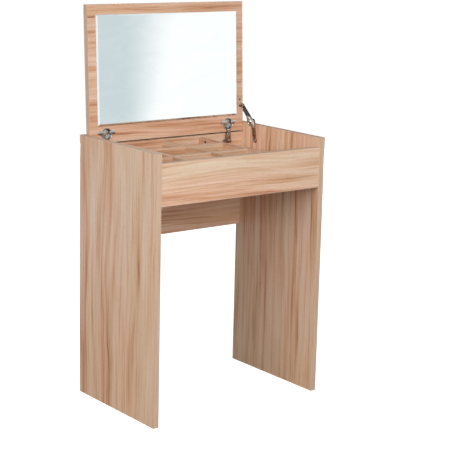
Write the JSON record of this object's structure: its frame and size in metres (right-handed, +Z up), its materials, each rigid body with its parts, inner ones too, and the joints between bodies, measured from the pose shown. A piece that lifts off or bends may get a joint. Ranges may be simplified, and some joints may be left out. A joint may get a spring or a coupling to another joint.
{
  "type": "vanity table",
  "caption": "Slab-sided vanity table in wood-grain board; its lid lifts on concealed hinges and a folding stay to show a mirror and a divided make-up compartment.",
  "frame": {"origin": "on the floor, under the middle of the box round the whole table with its lid open", "axes": "+X to the sitter's right, +Y to the wall behind the table, +Z up"},
  "size_m": [0.6, 0.4026, 1.1519],
  "materials": {
    "side_board": "satin wood-grain melamine, grain upright",
    "panel_board": "satin wood-grain melamine, grain across",
    "divider_board": "satin wood-grain foil, grain along each board",
    "edging": "matching edge strip",
    "beech": "fluted beech dowel",
    "mirror_glass": "silvered float glass with a narrow bevel",
    "foam_tape": "foam mounting tape",
    "nickel_plate": "nickel-plated pressed steel",
    "dark_steel": "dark plated steel",
    "zinc_plate": "zinc die casting"
  },
  "bodies": {
    "carcass": {"left_side_panel": "side_board", "right_side_panel": "side_board", "left_side_edging": "edging", "right_side_edging": "edging", "front_apron": "panel_board", "apron_edging": "edging", "back_panel": "panel_board", "back_panel_edging": "edging", "compartment_floor": "panel_board", "left_divider": "divider_board", "middle_divider": "divider_board", "right_divider": "divider_board", "rear_cross_divider": "divider_board", "front_cross_divider": "divider_board", "cam_bolts": "zinc_plate", "cam_locks": "zinc_plate", "wooden_dowels": "beech", "divider_dowels": "beech", "divider_cam_bolts": "zinc_plate", "divider_cam_locks": "zinc_plate", "left_hinge_plate": "nickel_plate", "right_hinge_plate": "nickel_plate", "left_hinge_arm": "nickel_plate", "right_hinge_arm": "nickel_plate", "left_hinge_link": "nickel_plate", "right_hinge_link": "nickel_plate", "hinge_plate_screws": "nickel_plate", "hinge_arm_screws": "nickel_plate", "stay_side_screw": "nickel_plate", "stay_side_washer": "nickel_plate"},
    "lid": {"lid_board": "panel_board", "lid_edging": "edging", "lid_mirror": "mirror_glass", "mirror_tape": "foam_tape", "left_hinge_cup": "nickel_plate", "right_hinge_cup": "nickel_plate", "left_hinge_pin": "nickel_plate", "right_hinge_pin": "nickel_plate", "hinge_cup_screws": "nickel_plate", "stay_lid_bracket": "nickel_plate", "stay_bracket_screws": "nickel_plate", "stay_lid_rivet": "nickel_plate"},
    "stay_lower": {"stay_lower_arm": "nickel_plate", "stay_elbow_stud": "nickel_plate"},
    "stay_upper": {"stay_upper_arm": "dark_steel", "stay_elbow_housing": "nickel_plate", "stay_elbow_cap": "nickel_plate"}
  },
  "joints": [
    {"name": "lid_hinge", "type": "hinge", "parent": "carcass", "child": "lid", "pos_m": [0, 0.17451, 0.7637], "axis": [1, 0, 0], "range_deg": [0, 92.7]},
    {"name": "stay_lower_pivot", "type": "hinge", "parent": "carcass", "child": "stay_lower", "pos_m": [0.2798, 0.10171, 0.731], "axis": [1, 0, 0], "range_deg": [0, 110.15]},
    {"name": "stay_upper_pivot", "type": "hinge", "parent": "lid", "child": "stay_upper", "pos_m": [0.2753, 0.16127, 0.8331], "axis": [1, 0, 0], "range_deg": [-112.65, 0]}
  ],
  "couplings": [
    {"joint": "stay_lower_pivot", "follows": "lid_hinge", "ratio": 1.1877},
    {"joint": "stay_upper_pivot", "follows": "lid_hinge", "ratio": -1.2147}
  ]
}
